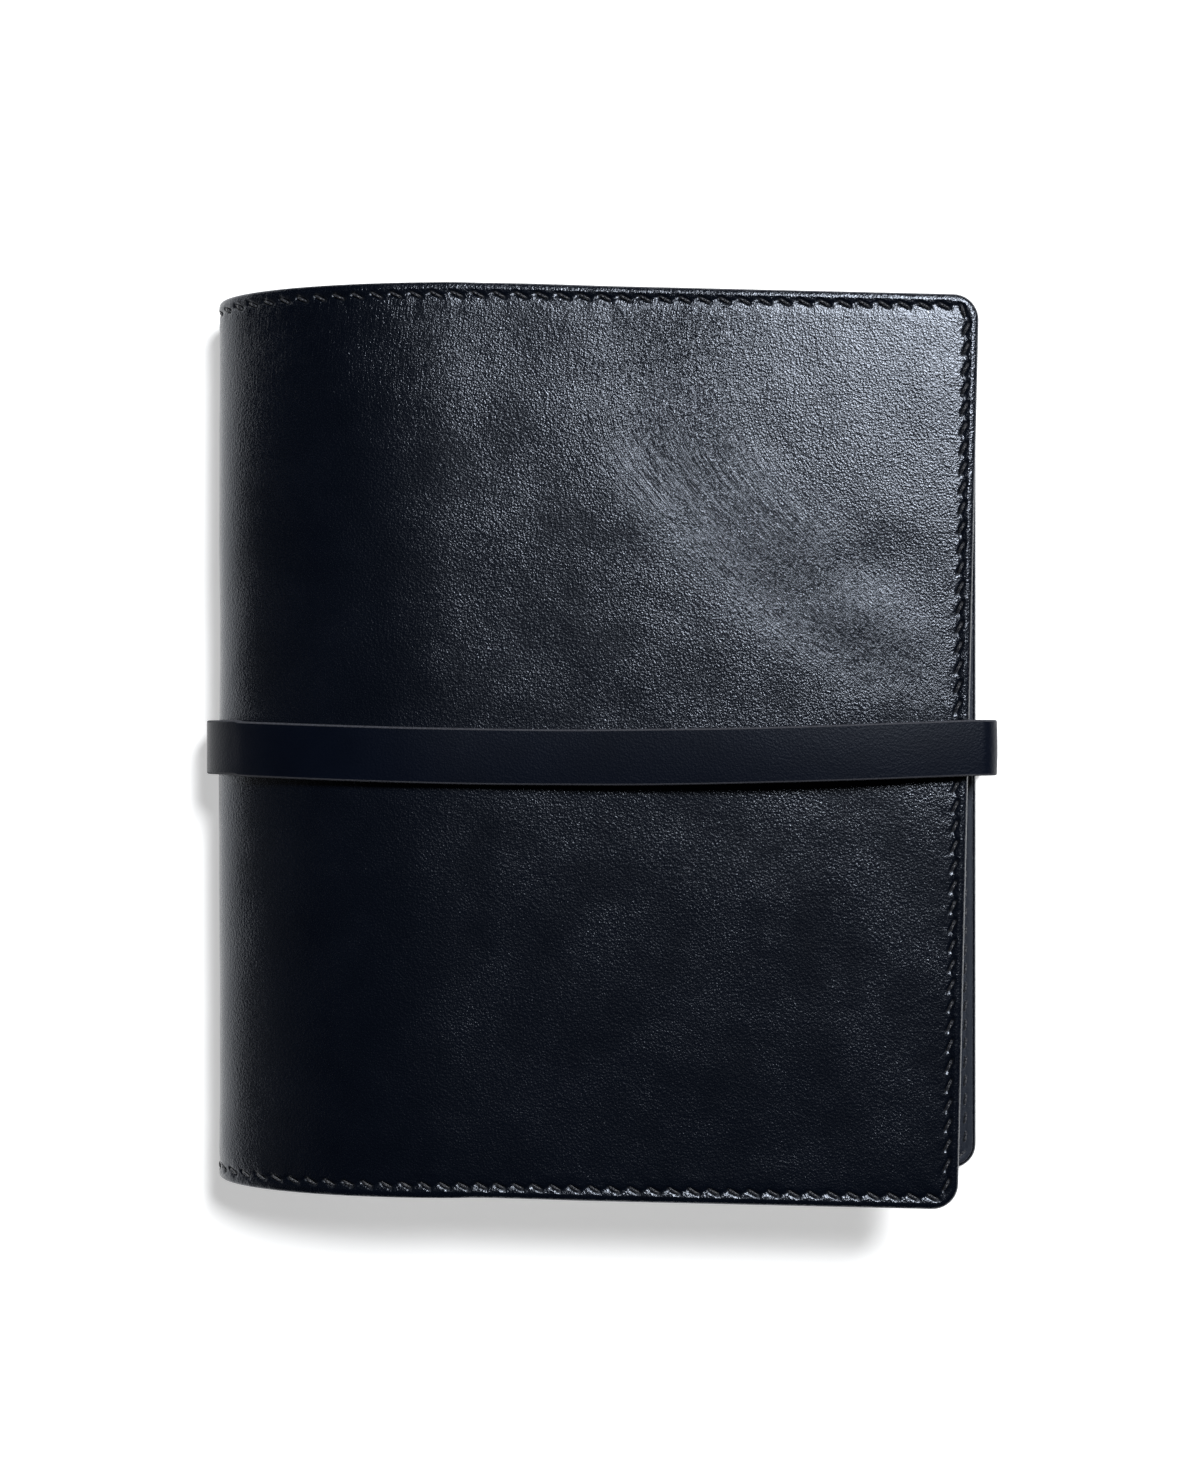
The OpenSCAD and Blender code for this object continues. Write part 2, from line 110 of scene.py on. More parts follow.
ARC, PLACES, TURNED = profile_table()
LENGTH = float(ARC[-1])
CURVE_START, CURVE_END = float(ARC[1]), float(ARC[-2])
SEAMS = [float(np.interp(t, TURNED[1:-1], ARC[1:-1])) for t in SEAM_TURN]


def smooth(x):
    x = np.clip(x, 0, 1)
    return x * x * (3 - 2 * x)


def place(s, y, depth):
    """Points of the cover: s along it from the back's fore edge, y from its middle, depth inwards."""
    s, y, depth = (np.asarray(v, float) for v in (s, y, depth))
    x, z = np.interp(s, ARC, PLACES[:, 0]), np.interp(s, ARC, PLACES[:, 1])
    turn = np.radians(np.interp(s, ARC, TURNED))
    past = np.clip(s - LENGTH, 0, None) - np.clip(-s, 0, None)
    x = x + past * -np.cos(turn) + depth * np.sin(turn)
    z = z + depth * np.cos(turn)
    angle = -FRONT_SKEW * smooth((s - CURVE_END + 12 * MM) / (50 * MM))
    swing_x = (x - FLAT_X) * np.cos(angle) - y * np.sin(angle)
    swing_y = (x - FLAT_X) * np.sin(angle) + y * np.cos(angle)
    return np.stack([FLAT_X + swing_x, MID_Y + swing_y, z], -1)


# ---------------------------------------------------------------- meshes
def add_mesh(name, points, faces, material, uv=None, floats=None, normals=None, flat=False):
    mesh = bpy.data.meshes.new(name)
    mesh.from_pydata([tuple(p) for p in points], [], [tuple(int(i) for i in f) for f in faces])
    corner = np.zeros(len(mesh.loops), np.int32)
    mesh.loops.foreach_get("vertex_index", corner)
    if uv is not None:
        layer = mesh.uv_layers.new(name="flat")
        layer.data.foreach_set("uv", np.asarray(uv, np.float32)[corner].ravel())
    for key, values in (floats or {}).items():
        mesh.attributes.new(key, "FLOAT", "POINT").data.foreach_set("value", np.asarray(values, np.float32))
    mesh.polygons.foreach_set("use_smooth", [not flat] * len(mesh.polygons))
    mesh.update()
    if normals is not None:
        mesh.normals_split_custom_set_from_vertices([tuple(n) for n in normals])
    obj = bpy.data.objects.new(name, mesh)
    bpy.context.scene.collection.objects.link(obj)
    obj.data.materials.append(material)
    return obj


def vertex_normals(points, faces):
    points = np.asarray(points, float)
    total = np.zeros_like(points)
    for count in (3, 4):
        chosen = np.array([f for f in faces if len(f) == count], int)
        if len(chosen):
            a, b, c, d = (points[chosen[:, k]] for k in (0, 1, 2, count - 1))
            face = np.cross(c - a, d - b) if count == 4 else np.cross(b - a, c - a)
            for k in range(count):
                np.add.at(total, chosen[:, k], face)
    return total / np.maximum(np.linalg.norm(total, axis=1, keepdims=True), 1e-12)


def spaced(start, end, step, keep=()):
    """Values from start to end about one step apart, passing exactly through those in keep."""
    stops = [start] + sorted(k for k in keep if start + 1e-6 < k < end - 1e-6) + [end]
    values = [start]
    for a, b in zip(stops, stops[1:]):
        n = max(1, round((b - a) / step))
        values += [a + (b - a) * k / n for k in range(1, n + 1)]
    return values


def halved(values):
    return sorted(values + [(a + b) / 2 for a, b in zip(values, values[1:])])


class Shell:
    """A closed sheet over a rectangle with rounded corners: a grid on each side, loops round its edge.

    Its points are kept as s, y and depth. section lists (inset, depth) from the outer grid to the inner."""

    def __init__(self, low_s, high_s, half, radius, outer_s, outer_y, inner_s, inner_y, section,
                 corner_steps=10):
        self.s, self.y, self.depth, self.edge, self.faces = [], [], [], [], []
        self.low, self.high, self.half, self.radius = low_s, high_s, half, radius
        top = self.grid(outer_s, outer_y, section[0][1], False)
        bottom = self.grid(inner_s, inner_y, section[-1][1], True)
        edge_s, edge_y = halved(outer_s), halved(outer_y)
        last = top
        for inset, depth in section[1:-1]:
            loop = self.loop(edge_s, edge_y, inset, depth, corner_steps)
            self.bridge(last, loop)
            last = loop
        self.bridge(last, bottom)

    def add(self, s, y, depth, inset):
        self.s.append(s)
        self.y.append(y)
        self.depth.append(depth)
        self.edge.append(inset)
        return len(self.s) - 1

    def grid(self, ss, ys, depth, flipped):
        """Adds a grid and returns its border as (place round the edge, vertex)."""
        def inset(s, y):
            return min(s - self.low, self.high - s, self.half - abs(y))

        index = [[self.add(s, y, depth, inset(s, y)) for y in ys] for s in ss]
        for i in range(len(ss) - 1):
            for j in range(len(ys) - 1):
                quad = (index[i][j], index[i + 1][j], index[i + 1][j + 1], index[i][j + 1])
                self.faces.append(quad[::-1] if flipped else quad)
        border = [(self.around("tail", s), index[i][0]) for i, s in enumerate(ss)]
        border += [(self.around("fore", y), index[-1][j]) for j, y in enumerate(ys) if j]
        border += [(self.around("head", s), index[i][-1]) for i, s in reversed(list(enumerate(ss[:-1])))]
        border += [(self.around("back", ys[j]), index[0][j]) for j in range(len(ys) - 2, 0, -1)]
        return border

    def around(self, side, value):
        """Place round the edge, from 0 to 8: each side takes an even step and each corner an odd one."""
        along_s = (value - self.low - self.radius) / (self.high - self.low - 2 * self.radius)
        along_y = (value + self.half - self.radius) / (2 * (self.half - self.radius))
        return {"tail": along_s, "fore": 2 + along_y, "head": 5 - along_s, "back": 7 - along_y}[side]

    def loop(self, ss, ys, inset, depth, steps):
        r = self.radius - inset
        found = []
        for s in ss:
            found.append((self.around("tail", s), self.add(s, inset - self.half, depth, inset)))
        self.corner(found, 1, self.high - self.radius, self.radius - self.half, r, -90, depth, inset, steps)
        for y in ys:
            found.append((self.around("fore", y), self.add(self.high - inset, y, depth, inset)))
        self.corner(found, 3, self.high - self.radius, self.half - self.radius, r, 0, depth, inset, steps)
        for s in reversed(ss):
            found.append((self.around("head", s), self.add(s, self.half - inset, depth, inset)))
        self.corner(found, 5, self.low + self.radius, self.half - self.radius, r, 90, depth, inset, steps)
        for y in reversed(ys):
            found.append((self.around("back", y), self.add(self.low + inset, y, depth, inset)))
        self.corner(found, 7, self.low + self.radius, self.radius - self.half, r, 180, depth, inset, steps)
        return found

    def corner(self, found, key, s, y, r, start, depth, inset, steps):
        for k in range(1, steps):
            a = math.radians(start + 90 * k / steps)
            vertex = self.add(s + r * math.cos(a), y + r * math.sin(a), depth, inset)
            found.append((key + k / steps, vertex))

    def bridge(self, one, two):
        """Joins two loops with faces, always advancing the one that is behind."""
        i = j = 0
        n, m = len(one), len(two)
        while i < n or j < m:
            a, b = one[i % n][1], two[j % m][1]
            next_a = one[(i + 1) % n][0] + (8 if i + 1 >= n else 0)
            next_b = two[(j + 1) % m][0] + (8 if j + 1 >= m else 0)
            a2, b2 = one[(i + 1) % n][1], two[(j + 1) % m][1]
            if i < n and j < m and abs(next_a - next_b) < 1e-6:
                self.faces.append((a, b, b2, a2))
                i, j = i + 1, j + 1
            elif j >= m or (i < n and next_a < next_b):
                self.faces.append((a, b, a2))
                i += 1
            else:
                self.faces.append((a, b, b2))
                j += 1


def split_by_seams(s_values, faces):
    """Sorts faces into the stretches of cover between the seams."""
    groups = [[] for _ in STRETCHES]
    for f in faces:
        middle = sum(s_values[i] for i in f) / len(f)
        groups[sum(middle > seam for seam in SEAMS)].append(f)
    return groups


STRETCHES = ("back", "spine", "front")


def add_to_cover(name, s, points, faces, material, uv, floats=None, replaced=()):
    """Makes a layer of the cover as one piece for each hinge that it bends over."""
    points, uv = np.asarray(points), np.asarray(uv)
    normals = vertex_normals(points, faces)
    for k, group in enumerate(split_by_seams(s, faces)):
        if not group:
            continue
        used = sorted({i for f in group for i in f})
        new = {old: i for i, old in enumerate(used)}
        piece = add_mesh(
            f"{name}_{STRETCHES[k]}", points[used], [[new[i] for i in f] for f in group], material,
            uv[used], {key: np.asarray(v)[used] for key, v in (floats or {}).items()}, normals[used])
        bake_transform(piece)
        for node in (replaced[k] if replaced else ()):
            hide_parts(node)


# ---------------------------------------------------------------- looks
class Look:
    """A material built from a Principled shader and small helpers for its nodes."""

    def __init__(self, name, **values):
        self.material = bpy.data.materials.new(name)
        self.material.use_nodes = True
        self.tree = self.material.node_tree
        self.shader = next(n for n in self.tree.nodes if n.type == "BSDF_PRINCIPLED")
        for key, value in values.items():
            self.shader.inputs[key.replace("_", " ")].default_value = value

    def node(self, kind, inputs=None, **settings):
        made = self.tree.nodes.new("ShaderNode" + kind)
        for key, value in settings.items():
            setattr(made, key, value)
        for key, value in (inputs or {}).items():
            if isinstance(value, bpy.types.NodeSocket):
                self.tree.links.new(value, made.inputs[key])
            else:
                made.inputs[key].default_value = value
        return made

    def set(self, key, socket):
        self.tree.links.new(socket, self.shader.inputs[key])

    def math(self, operation, a, b=0.0, clamp=False):
        return self.node("Math", {0: a, 1: b}, operation=operation, use_clamp=clamp).outputs[0]

    def attribute(self, name):
        return self.node("Attribute", attribute_name=name).outputs["Fac"]

    def flat(self, stretch=(1000, 1000, 1000)):
        """The piece's own flat coordinates, in millimetres unless stretched."""
        uv = self.node("UVMap", uv_map="flat").outputs[0]
        return self.stretched(uv, stretch)

    def noise(self, vector, scale, detail=2.0, rough=0.5):
        inputs = {"Vector": vector, "Scale": scale, "Detail": detail, "Roughness": rough}
        return self.node("TexNoise", inputs).outputs["Fac"]

    def cells(self, vector, scale):
        inputs = {"Vector": vector, "Scale": scale, "Randomness": 1.0}
        return self.node("TexVoronoi", inputs).outputs["Distance"]

    def stretched(self, vector, by):
        return self.node("VectorMath", {0: vector, 1: by}, operation="MULTIPLY").outputs[0]

    def between(self, value, low, high, to_low=0.0, to_high=1.0):
        inputs = {"Value": value, "From Min": low, "From Max": high, "To Min": to_low, "To Max": to_high}
        return self.node("MapRange", inputs, clamp=True).outputs[0]

    def mix(self, factor, a, b):
        made = self.node("Mix", {0: factor, 6: a, 7: b}, data_type="RGBA")
        return made.outputs[2]

    def bump(self, height, distance, normal=None):
        inputs = {"Height": height, "Distance": distance, "Strength": 1.0}
        if normal is not None:
            inputs["Normal"] = normal
        return self.node("Bump", inputs).outputs[0]


def leather_look(name, dark, light, grain, roughness, shine, wrinkled):
    """Pigmented leather: fine pebbled grain, a little tone variation, and creases where asked for, with
    painted shade darkening the needle slots.
    """
    look = Look(name, Specular_IOR_Level=shine, Specular_Tint=(0.80, 0.87, 1.0, 1))
    mm = look.flat()
    pebble = look.cells(mm, 1.75)
    pores = look.noise(mm, 3.2, 2.0, 0.5)
    broad = look.noise(mm, 0.05, 3.0, 0.6)
    tone = look.math("ADD", look.math("MULTIPLY", pores, 0.35), look.math("MULTIPLY", broad, 0.65))
    colour = look.mix(look.between(tone, 0.35, 0.65), dark, light)
    glint = look.cells(mm, 4.0)
    height = look.math("ADD", look.math("MULTIPLY", pebble, 0.068), look.math("MULTIPLY", pores, 0.016))
    height = look.math("ADD", height, look.math("MULTIPLY", glint, 0.030))
    patch = look.between(broad, 0.3, 0.7, 0.65, 1.25)
    normal = look.bump(look.math("MULTIPLY", height, patch), grain * MM)
    rough = look.between(pores, 0.3, 0.7, roughness - 0.05, roughness + 0.07)
    if wrinkled:
        flow = {0: look.attribute("flow"), 1: look.attribute("flow_length"), 2: 0.0}
        along = look.node("CombineXYZ", flow).outputs[0]
        wave = look.noise(look.stretched(along, (1.05, 0.13, 1)), 1.0, 3.0, 0.55)
        crease = look.between(look.math("ABSOLUTE", look.math("SUBTRACT", wave, 0.5)), 0.0, 0.07)
        depth = look.math("MULTIPLY", crease, look.attribute("creased"))
        normal = look.bump(depth, 0.072 * MM, normal)
        # Painted shade: the needle slots are coloured near black for the shadow that falls inside them, and
        # made rougher.
        slot_painted_shade = look.attribute("slot")
        colour = look.mix(slot_painted_shade, colour, (0.0006, 0.0008, 0.0015, 1))
        speck = look.between(look.cells(mm, 0.07), 0.012, 0.016, 1.0, 0.0)
        colour = look.mix(look.math("MULTIPLY", speck, 0.35), colour, (0.12, 0.13, 0.15, 1))
        rough = look.math("ADD", rough, look.math("MULTIPLY", slot_painted_shade, 0.4), clamp=True)
    look.set("Roughness", rough)
    look.set("Base Color", colour)
    look.set("Normal", normal)
    return look.material


NAVY = leather_look("navy_leather", (0.0007, 0.0016, 0.0042, 1), (0.0018, 0.0030, 0.0066, 1),
                    grain=1.0, roughness=0.24, shine=0.58, wrinkled=True)
LINING = leather_look("lining_leather", (0.0065, 0.0085, 0.0140, 1), (0.0110, 0.0140, 0.0220, 1),
                      grain=0.7, roughness=0.50, shine=0.4, wrinkled=False)
STRAP = leather_look("strap_leather", (0.0008, 0.0018, 0.0052, 1), (0.0016, 0.0030, 0.0078, 1),
                     grain=0.5, roughness=0.38, shine=0.14, wrinkled=False)


def cut_edge_look():
    """Raw leather edge, paler and rougher than the dyed face."""
    look = Look("cut_edge", Roughness=0.75)
    fibre = look.noise(look.flat((1000, 4000, 1000)), 1.5, 4.0, 0.7)
    dark, light = (0.010, 0.011, 0.017, 1), (0.045, 0.048, 0.062, 1)
    look.set("Base Color", look.mix(look.between(fibre, 0.35, 0.65), dark, light))
    look.set("Normal", look.bump(fibre, 0.15 * MM))
    return look.material


def thread_look():
    look = Look("thread", Roughness=0.42, Sheen_Weight=0.2)
    wave = {"Vector": look.flat(), "Scale": 0.55, "Distortion": 0.6}
    ply = look.node("TexWave", wave, bands_direction="DIAGONAL").outputs["Fac"]
    look.set("Base Color", look.mix(ply, (0.0035, 0.0045, 0.009, 1), (0.010, 0.013, 0.022, 1)))
    look.set("Normal", look.bump(ply, 0.12 * MM))
    return look.material


def paper_look():
    """Cream paper with faint ruled lines across each leaf."""
    look = Look("paper", Roughness=0.78, Specular_IOR_Level=0.25)
    mm = look.flat()
    fibre = look.noise(mm, 0.9, 5.0, 0.65)
    cream = look.mix(look.between(fibre, 0.3, 0.7), (0.76, 0.72, 0.62, 1), (0.83, 0.79, 0.69, 1))
    down = look.node("SeparateXYZ", {0: mm}).outputs[1]
    rule = look.between(look.math("PINGPONG", down, 3.5), 0.0, 0.14, 1.0, 0.0)
    ruled = look.math("MULTIPLY", rule, look.attribute("ruled"))
    look.set("Base Color", look.mix(look.math("MULTIPLY", ruled, 0.45), cream, (0.30, 0.36, 0.45, 1)))
    look.set("Normal", look.bump(fibre, 0.02 * MM))
    return look.material


def board_look():
    look = Look("stiffener", Roughness=0.9)
    place_m = look.node("TexCoord").outputs["Object"]
    fibre = look.noise(place_m, 900.0, 4.0, 0.7)
    look.set("Base Color", look.mix(fibre, (0.12, 0.11, 0.10, 1), (0.24, 0.22, 0.19, 1)))
    look.set("Normal", look.bump(fibre, 0.06 * MM))
    return look.material


def steel_look(name, colour, roughness, brushed):
    """Plated or brushed steel with fine scuffs; brushed lines run along the cover's height."""
    look = Look(name, Metallic=1.0)
    place_m = look.node("TexCoord").outputs["Object"]
    stretch = (2500, 60, 2500) if brushed else (500, 500, 500)
    lines = look.noise(look.stretched(place_m, stretch), 1.0, 4.0, 0.6)
    smudge = look.noise(place_m, 90.0, 3.0, 0.6)
    bright = tuple(min(1, c * 1.12) for c in colour[:3]) + (1,)
    look.set("Base Color", look.mix(look.between(smudge, 0.3, 0.7), colour, bright))
    worn = look.math("ADD", look.math("MULTIPLY", lines, 0.5), look.math("MULTIPLY", smudge, 0.5))
    look.set("Roughness", look.between(worn, 0.3, 0.7, roughness * 0.75, roughness * 1.35))
    look.set("Normal", look.bump(lines, (0.012 if brushed else 0.004) * MM))
    return look.material


EDGE = cut_edge_look()
THREAD = thread_look()
PAPER = paper_look()
BOARD = board_look()
PLATED = steel_look("ring_steel", (0.72, 0.73, 0.75, 1), 0.14, False)
BRUSHED = steel_look("channel_steel", (0.58, 0.58, 0.60, 1), 0.30, True)


# ---------------------------------------------------------------- cover leather
STITCH_PITCH = 5.0 * MM
STITCH_INSET = 3.2 * MM
STITCH_LEAN = math.radians(27)
HEM_W = 5.0 * MM
# Bands along the edge as (rise, distance in, width) in millimetres: the groove, its sides, the bead.
EDGE_BANDS = ((-0.16, 3.2, 0.45), (-0.14, 3.2, 2.2), (0.12, 1.7, 0.7))
SLOT_DEPTH = 0.55              # millimetres
SLOT_HALF, SLOT_RIM, SLOT_FADE = 1.35 * MM, 0.20 * MM, 0.45 * MM
CREASE_TURN, CREASE_EASE, CREASE_SLOPE = 66.0, 9.0, 1.25      # millimetres, and sideways per down
DENT_X, DENT_Y = 57.7 * MM, 43 * MM
FOLD_X, FOLD_Y = 66 * MM, 34 * MM


class StitchLine:
    """The closed row of stitches round the cover, as a run of u along a rounded rectangle."""

    def __init__(self, inset):
        self.inset = inset
        self.r = CORNER_R - inset
        self.flat_s, self.flat_y = LENGTH - 2 * CORNER_R, HEIGHT - 2 * CORNER_R
        self.arc = self.r * math.pi / 2
        self.total = 2 * (self.flat_s + self.flat_y) + 4 * self.arc
        self.count = round(self.total / STITCH_PITCH)
        self.pitch = self.total / self.count

    def at(self, u):
        """Point (s, y) and unit direction at a distance along the row, anticlockwise from the tail."""
        u %= self.total
        half = HEIGHT / 2
        near_s, far_s, near_y, far_y = CORNER_R, LENGTH - CORNER_R, CORNER_R - half, half - CORNER_R
        # Each side as its length, start (s, y) and direction, then its corner's centre and first angle.
        stops = (
            (self.flat_s, near_s, self.inset - half, 1, 0, far_s, near_y, -90),
            (self.flat_y, LENGTH - self.inset, near_y, 0, 1, far_s, far_y, 0),
            (self.flat_s, far_s, half - self.inset, -1, 0, near_s, far_y, 90),
            (self.flat_y, self.inset, far_y, 0, -1, near_s, near_y, 180),
        )
        for length, s, y, ds, dy, cs, cy, start in stops:
            if u < length:
                return (s + ds * u, y + dy * u), (ds, dy)
            u -= length
            if u < self.arc:
                a = math.radians(start) + u / self.r
                return (cs + self.r * math.cos(a), cy + self.r * math.sin(a)), (-math.sin(a), math.cos(a))
            u -= self.arc
        return (CORNER_R, self.inset - half), (1, 0)


ROW = StitchLine(STITCH_INSET)


def sampled(scale, points, seed):
    """Smooth noise from -1 to 1 at flat places, scale metres across."""
    out = np.zeros(len(points))
    for i, (s, y) in enumerate(points):
        spot = Vector((s / scale + seed, y / scale - seed, seed))
        out[i] = noise.fractal(spot, 1.0, 2.0, 2)
    return out


def hem_depth(s):
    """Thickness of the turned edge: it wraps the stiffener on the flat panels only."""
    back = smooth((CURVE_START - s) / (6 * MM))
    front = smooth((s - CURVE_END) / (6 * MM))
    return LEATHER_T + BOARD_T * np.maximum(back, front)


def front_x(s):
    """X of a place on the front panel, before any skew."""
    return FLAT_X + (s - CURVE_END)


def outer_relief(s, y, edge, slot):
    """How far the outer face stands out of its plain shape."""
    mm = edge / MM
    relief = sum(rise * np.exp(-((mm - middle) / width) ** 2) for rise, middle, width in EDGE_BANDS)
    relief -= SLOT_DEPTH * slot
    inside = smooth((mm - 3.0) / 12.0)
    flat = np.stack([s, y], -1)
    relief += inside * (0.30 * sampled(0.055, flat, 3.1) + 0.10 * sampled(0.016, flat, 8.4))
    relief += (1 - inside) * 0.09 * sampled(0.0028, flat, 5.7)
    x = front_x(s)
    # A soft dent above the strap, leaning to the right, with a low fold below it.
    dx, dy = (x - DENT_X) / (13 * MM), (y - DENT_Y) / (9 * MM)
    lean = dx * 0.82 + dy * 0.57, dy * 0.82 - dx * 0.57
    relief -= 0.36 * np.exp(-lean[0] ** 2 * 0.55 - lean[1] ** 2 * 1.6) * (s > CURVE_END)
    dx, dy = (x - FOLD_X) / (16 * MM), (y - FOLD_Y) / (7 * MM)
    relief += 0.22 * np.exp(-dx ** 2 - (dy + 0.8 * dx) ** 2) * (s > CURVE_END)
    return relief * MM


def creases(s, y):
    """Flow coordinates of the creases across the front, in millimetres, and how strong they are."""
    x = front_x(s) / MM
    h = y / MM
    # They run down from the head, and turn aside below CREASE_TURN over about CREASE_EASE.
    below = np.clip((CREASE_TURN - h) / CREASE_EASE, -30, 30)
    flow = x - CREASE_SLOPE * CREASE_EASE * np.log1p(np.exp(below)) + 2.2 * np.sin(h / 11.0)
    slope = CREASE_SLOPE / (1 + np.exp(-below))
    length = h / np.maximum(0.35, 1 / np.sqrt(1 + slope ** 2)) - 0.25 * x
    band = np.exp(-((flow - 17) / 17.0) ** 2)
    band *= smooth((h - 6) / 26.0) * smooth((100 - x) / 22.0) * (s > CURVE_END - 20 * MM)
    faint = 0.04 * smooth((x + 70) / 60.0) * (s > CURVE_START)
    spine = 0.25 * smooth((h - 60) / 40) * (s > CURVE_START) * smooth((CURVE_END + 25 * MM - s) / (40 * MM))
    return flow, length, np.clip(band + faint + spine, 0, 1)


def slot_sink_and_shade_mask(s, y):
    """1 inside the slanted needle slots that the stitches sink into, fading to 0 at their rims. The face is
    sunk there, and the shader paints shade into the slots as near-black colour.
    """
    marks = np.zeros(len(s))
    cell = 6 * MM
    bins = {}
    near = (np.minimum.reduce([s, LENGTH - s, HEIGHT / 2 - np.abs(y)]) < 7 * MM).nonzero()[0]
    for i in near:
        bins.setdefault((int(s[i] // cell), int(y[i] // cell)), []).append(i)
    for k in range(ROW.count):
        (cs, cy), (ds, dy) = ROW.at((k + 0.5) * ROW.pitch)
        a = math.atan2(dy, ds) - STITCH_LEAN
        key = (int(cs // cell), int(cy // cell))
        found = [i for p in (-1, 0, 1) for q in (-1, 0, 1) for i in bins.get((key[0] + p, key[1] + q), ())]
        if not found:
            continue
        ps, py = s[found] - cs, y[found] - cy
        along = ps * math.cos(a) + py * math.sin(a)
        across = py * math.cos(a) - ps * math.sin(a)
        away = np.hypot(np.clip(np.abs(along) - SLOT_HALF, 0, None), across)
        marks[found] = np.maximum(marks[found], 1 - smooth((away - SLOT_RIM) / SLOT_FADE))
    return marks


def round_edge(reach, angles):
    """(inset, depth) round a sheet's edge, depth from 0 on the outer face to 1 on the inner."""
    return [(reach * (1 - math.cos(a)), (1 - math.sin(a)) / 2) for a in np.radians(angles)]


EDGE_REACH = 1.3 * MM         # the turned edge is rounded over this much of the leather
BARELY = 0.0001               # tells the round of the edge from the flat face


def build_leather():
    r = CORNER_R
    on_spine = spaced(CURVE_START, CURVE_END, 1.1 * MM, SEAMS)
    outer_s = spaced(r, CURVE_START, 1.5 * MM)[:-1] + on_spine
    outer_s += spaced(CURVE_END, LENGTH - r, 1.25 * MM)[1:]
    outer_y = spaced(r - HEIGHT / 2, HEIGHT / 2 - r, 1.25 * MM)
    seams = [CURVE_START] + SEAMS + [CURVE_END]
    inner_s = spaced(r, LENGTH - r, 2.5 * MM, seams)
    inner_y = spaced(r - HEIGHT / 2, HEIGHT / 2 - r, 8 * MM)
    # Depths up to 1 go round the turned edge as a share of the hem, and 2 marks the leather inside it.
    loops = (5.9, 5.3, 4.8, 4.4, 4.1, 3.8, 3.55, 3.3, 3.05, 2.8, 2.55, 2.25, 1.9, 1.6)
    section = [(r, 0)] + [(inset * MM, 0) for inset in loops]
    section += [(inset, BARELY + depth) for inset, depth in
                round_edge(EDGE_REACH, (90, 70, 50, 30, 12, -12, -30, -50, -70, -90))[1:]]
    section += [(HEM_W - 0.1 * MM, 1 + BARELY), (HEM_W, 1 + BARELY), (HEM_W, 2.0), (r, 2.0)]
    shell = Shell(0, LENGTH, HEIGHT / 2, r, outer_s, outer_y, inner_s, inner_y, section)
    s, y, edge, part = (np.array(v) for v in (shell.s, shell.y, shell.edge, shell.depth))
    depth = np.where(part >= 2.0, LEATHER_T, np.clip(part, 0, 1) * hem_depth(s))
    # The slot mask sinks the outer face and, as the 'slot' attribute, paints shade into the needle slots.
    slot = slot_sink_and_shade_mask(s, y) * (part < 0.3)
    relief = outer_relief(s, y, edge, slot) * (1 - smooth(part / 0.6))
    flow, length, creased = creases(s, y)
    points = place(s, y, depth - relief)
    add_to_cover(
        "cover_leather", s, points, shell.faces, NAVY, np.stack([s, y], -1),
        {"slot": slot, "flow": flow, "flow_length": length, "creased": creased * (part < 0.01)},
        (("back_leather",), ("spine_leather_back",), ("spine_leather_front", "front_leather")))


def build_lining():
    inset = 1.2 * MM
    r = CORNER_R - inset
    grid_s = spaced(CORNER_R, CURVE_START, 4 * MM)[:-1] + spaced(CURVE_START, CURVE_END, 1.5 * MM, SEAMS)
    grid_s += spaced(CURVE_END, LENGTH - CORNER_R, 4 * MM)[1:]
    grid_y = spaced(CORNER_R - HEIGHT / 2, HEIGHT / 2 - CORNER_R, 5 * MM)
    section = [(r, 0)] + round_edge(0.4 * MM, (90, 60, 30, 0, -30, -60, -90))
    section += [(v * MM, 1) for v in (1.1, 1.7, 2.0, 2.3, 2.9, 3.8)] + [(r, 1)]
    shell = Shell(inset, LENGTH - inset, HEIGHT / 2 - inset, r, grid_s, grid_y, grid_s, grid_y, section)
    s, y, edge, part = (np.array(v) for v in (shell.s, shell.y, shell.edge, shell.depth))
    sunk = -0.22 * MM * np.exp(-((edge - 2.0 * MM) / (0.5 * MM)) ** 2)
    swell = 0.12 * MM * sampled(0.05, np.stack([s, y], -1), 1.7) * smooth((edge - 3 * MM) / (8 * MM))
    shift = np.minimum(0, (sunk + swell) * smooth((part - 0.4) / 0.6))
    depth = hem_depth(s) + part * LINING_T + shift
    points = place(s, y, depth)
    add_to_cover("lining", s, points, shell.faces, LINING, np.stack([s, y], -1), None,
                 (("back_lining",), ("spine_lining_back",), ("spine_lining_front", "front_lining")))


# ---------------------------------------------------------------- stitches
def stitch_ring(path, sides=8):
    """Points, faces and (length, turn) of a rounded thread along a path of (s, y, depth, radius)."""
    rows, faces, flat = [], [], []
    run = 0.0
    for k, (s, y, depth, r) in enumerate(path):
        before, after = path[max(0, k - 1)], path[min(len(path) - 1, k + 1)]
        ds, dy = after[0] - before[0], after[1] - before[1]
        size = math.hypot(ds, dy)
        ds, dy = ds / size, dy / size
        if k:
            run += math.dist(path[k][:3], path[k - 1][:3])
        for j in range(sides):
            a = 2 * math.pi * j / sides
            rows.append((s - dy * math.cos(a) * r, y + ds * math.cos(a) * r, depth + math.sin(a) * r))
            flat.append((run, j / sides * 2 * MM))
    for k in range(len(path) - 1):
        for j in range(sides):
            a, b = k * sides + j, k * sides + (j + 1) % sides
            faces.append((a, a + sides, b + sides, b))
    return rows, faces, flat


